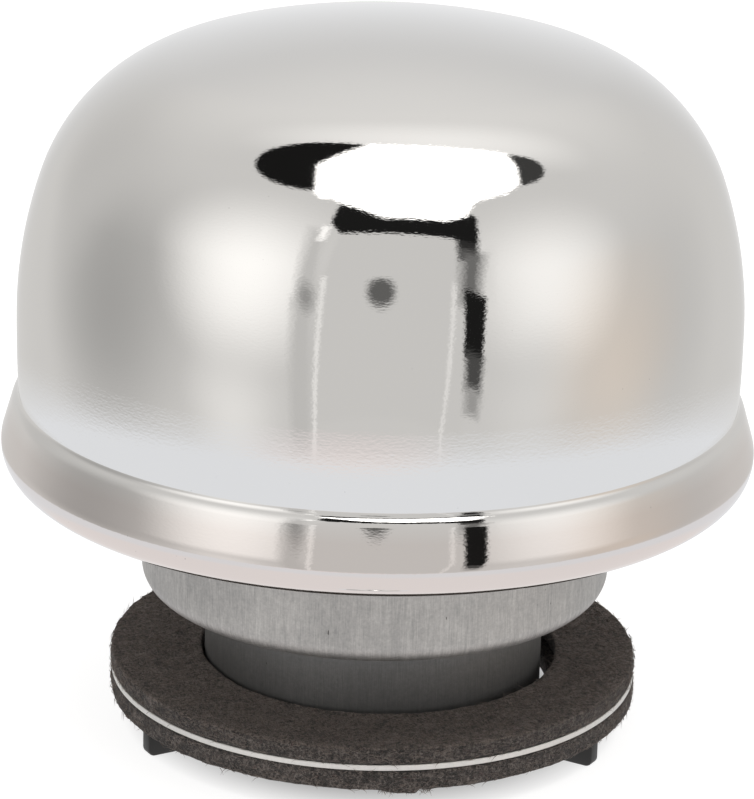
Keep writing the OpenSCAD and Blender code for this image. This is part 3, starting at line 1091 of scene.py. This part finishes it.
# The tent round the object is drawn on the plane through the horizon: straight up is the middle,
# u runs right, v runs towards the front, and the horizon is 1 from the middle. A glow is round and
# fades outwards; a panel is a convex outline with a soft edge. Later layers cover earlier ones.
tentGlows = [
    # centre, size, brightness
    ((-1.05, -0.05), (0.75, 0.80), 0.42),        # grey side of the tent, left
    ((-0.60, -0.45), (0.45, 0.40), 0.58),
    ((1.05, -0.25), (0.60, 0.60), 0.60),
    ((0.00, -1.10), (0.55, 0.60), 0.86),         # behind
    ((0.05, -0.30), (0.50, 0.35), 0.80),
    ((0.08, -0.14), (0.34, 0.16), 1.00),         # halo round the light above
    ((-0.50, 0.50), (0.48, 0.50), 1.18),         # white walls either side of the front
    ((0.62, 0.42), (0.46, 0.48), 1.06),
    ((0.95, 0.85), (0.40, 0.45), 0.74),
    ((-0.95, 0.95), (0.45, 0.45), 0.86),
]
tentPanels = [
    # outline, softness, brightness
    ([(-0.13, 0.37), (0.24, 0.37), (0.62, 1.30), (-0.52, 1.30)], 0.06, 0.655),    # front wall
    ([(-0.20, 0.36), (-0.15, 0.38), (-0.27, 0.72), (-0.37, 0.72)], 0.05, 0.60),   # pale stand
    ([(-0.37, 0.70), (-0.27, 0.70), (-0.51, 1.36), (-0.67, 1.36)], 0.06, 0.585),
    ([(-0.165, 0.355), (-0.145, 0.36), (-0.175, 0.43), (-0.20, 0.43)], 0.02, 1.20),
    ([(-0.235, 0.66), (-0.215, 0.66), (-0.465, 1.36), (-0.485, 1.36)], 0.02, 0.92),
    ([(0.285, 0.66), (0.30, 0.66), (0.48, 1.36), (0.465, 1.36)], 0.02, 0.90),
    ([(0.30, 0.40), (0.34, 0.40), (0.47, 0.66), (0.43, 0.68)], 0.05, 0.80),
    ([(0.215, 0.39), (0.285, 0.38), (0.33, 0.50), (0.265, 0.52)], 0.02, 0.03),    # dark stand
    ([(0.255, 0.46), (0.335, 0.46), (0.42, 0.70), (0.335, 0.71)], 0.055, 0.17),
    ([(0.335, 0.66), (0.435, 0.65), (0.53, 0.88), (0.43, 0.90)], 0.012, 0.012),
    ([(0.425, 0.87), (0.53, 0.86), (0.60, 1.02), (0.50, 1.03)], 0.04, 0.075),
    ([(0.50, 1.02), (0.60, 1.01), (0.66, 1.14), (0.56, 1.15)], 0.06, 0.36),
    ([(-0.10, 0.23), (0.0, 0.32), (0.0, 0.40), (-0.125, 0.395), (-0.14, 0.34)], 0.009, 0.012),
    ([(-0.12, 0.33), (0.17, 0.31), (0.27, 0.33), (0.285, 0.40), (-0.12, 0.40)], 0.009, 0.012),
    ([(0.225, 0.255), (0.245, 0.27), (0.29, 0.40), (0.22, 0.40), (0.17, 0.31)], 0.009, 0.012),
]
tentOvals = [
    # centre, size, softness, brightness
    ((0.0, 0.735), (0.057, 0.052), 0.030, 0.13),        # the camera, seen in the cover
    ((-0.315, 0.71), (0.030, 0.045), 0.04, 0.34),
    ((-0.10, 0.025), (0.152, 0.140), 0.008, 0.010),     # black rim of the light above
    ((0.235, -0.01), (0.085, 0.088), 0.008, 0.050),
]
lightAbove = {
    "outlines": (
        [(-0.02, -0.10), (0.20, -0.095), (0.243, -0.035), (0.283, 0.05), (0.27, 0.11),
         (0.20, 0.20), (-0.14, 0.20), (-0.15, 0.17), (-0.12, 0.02)],
        [(-0.14, 0.15), (0.21, 0.15), (0.21, 0.27), (0.17, 0.305), (0.0, 0.305), (-0.10, 0.23)],
    ),
    "softness": 0.02,
    "brightness": 3.2,
}
tableShape = {
    "start": 1.40,                # well below the horizon, all round
    "sharpness": 16,
    "brightness": 0.86,
    "blushMiddle": 1.44,          # a pink blush along its near edge
    "blushDepth": 0.05,
    "blushSide": -0.2,
    "blushWidth": 0.85,
    "underStart": 1.75,           # warmer again under the object
}
tentBrightness = 0.67             # where nothing else is drawn


def makeStudioLight():
    world = bpy.data.worlds.new("studio")
    bpy.context.scene.world = world
    world.use_nodes = True
    s = Shader(world.node_tree)
    coordinates = s.node("TexCoord")
    x, y, z = s.parts(s.out(coordinates, "Generated"))
    above = (z + 1).atLeast(0.05)
    u = x / above
    v = -(y / above)

    def glow(centre, size):
        du, dv = (u - centre[0]) / size[0], (v - centre[1]) / size[1]
        fall = (1 - (du * du + dv * dv)).clamped()
        return fall * fall

    def panel(outline, softness):
        farthest = None
        for (u0, v0), (u1, v1) in zip(outline, outline[1:] + outline[:1]):
            length = math.hypot(u1 - u0, v1 - v0)
            outU, outV = (v1 - v0) / length, (u0 - u1) / length
            distance = u * outU + v * outV - (u0 * outU + v0 * outV)
            farthest = distance if farthest is None else farthest.atLeast(distance)
        return (0.5 - farthest / softness).clamped()

    def oval(centre, size, softness):
        du, dv = (u - centre[0]) / size[0], (v - centre[1]) / size[1]
        distance = ((du * du + dv * dv).root() - 1) * min(size)
        return (0.5 - distance / softness).clamped()

    def cover(mask, brightness):
        return light + mask * (brightness - light)

    light = tentBrightness
    for centre, size, brightness in tentGlows:
        light = cover(glow(centre, size), brightness)
    for outline, softness, brightness in tentPanels:
        light = cover(panel(outline, softness), brightness)
    for centre, size, softness, brightness in tentOvals:
        light = cover(oval(centre, size, softness), brightness)
    for outline in lightAbove["outlines"]:
        light = cover(panel(outline, lightAbove["softness"]), lightAbove["brightness"])
    c = tableShape
    rho = (u * u + v * v).root()
    table = ((rho - c["start"]) * c["sharpness"]).clamped()
    light = cover(table, c["brightness"])
    across, along = (rho - c["blushMiddle"]) / c["blushDepth"], (u - c["blushSide"]) / c["blushWidth"]
    blush = (1 - across * across - along * along).clamped() * (v * 5).clamped()
    under = ((rho - c["underStart"]) * 4).clamped()
    colour = s.mix(glow((1.15, 0.25), (0.55, 0.70)), (1.02, 1.0, 0.968, 1), (1.11, 1.0, 0.89, 1))
    colour = s.mix(table, colour, (0.985, 1.0, 1.025, 1))
    colour = s.mix(under, colour, (1.035, 0.99, 0.975, 1))
    colour = s.mix(blush, colour, (1.05, 0.975, 0.95, 1))
    colour = s.mix(glow((0.0, -1.0), (0.7, 0.7)), colour, (0.995, 1.0, 1.01, 1))
    background = s.node("Background", color=colour, strength=light)
    s.node("OutputWorld", surface=s.out(background))


floorShape = {
    "radius": 4,
    "shadeRadius": 20,            # the floor's glow is painted off inside this radius, in millimetres: a painted shadow under the object
    "shadeWidth": 14,
    "matt": 0.35,
    "lit": 0.85,
}


# the tent's lower half shows in the chrome, and the floor doesn't
def makeFloor():
    c = floorShape
    deselectAll()
    bpy.ops.mesh.primitive_circle_add(vertices=96, radius=c["radius"], fill_type="NGON")
    floor = bpy.context.object
    floor.name = "floor"
    material, s = newMaterial("paleFloor")
    x, y = s.place()[:2]
    # painted shadow: the floor's glow fades to nothing under the object
    shade = (((x * x + y * y).root() - c["shadeRadius"]) / c["shadeWidth"]).clamped()
    matt = s.node("BsdfDiffuse", color=grey(c["matt"]))
    lit = s.node("Emission", color=s.mix(shade, grey(0.0), grey(c["lit"])))
    both = s.node("AddShader", i0=s.out(matt), i1=s.out(lit))
    s.node("OutputMaterial", surface=s.out(both))
    floor.data.materials.append(material)
    floor.visible_glossy = False
    floor.visible_diffuse = False


makeCamera()
makeStudioLight()
makeFloor()
bpy.context.scene.view_settings.view_transform = "Standard"
print("studio made")
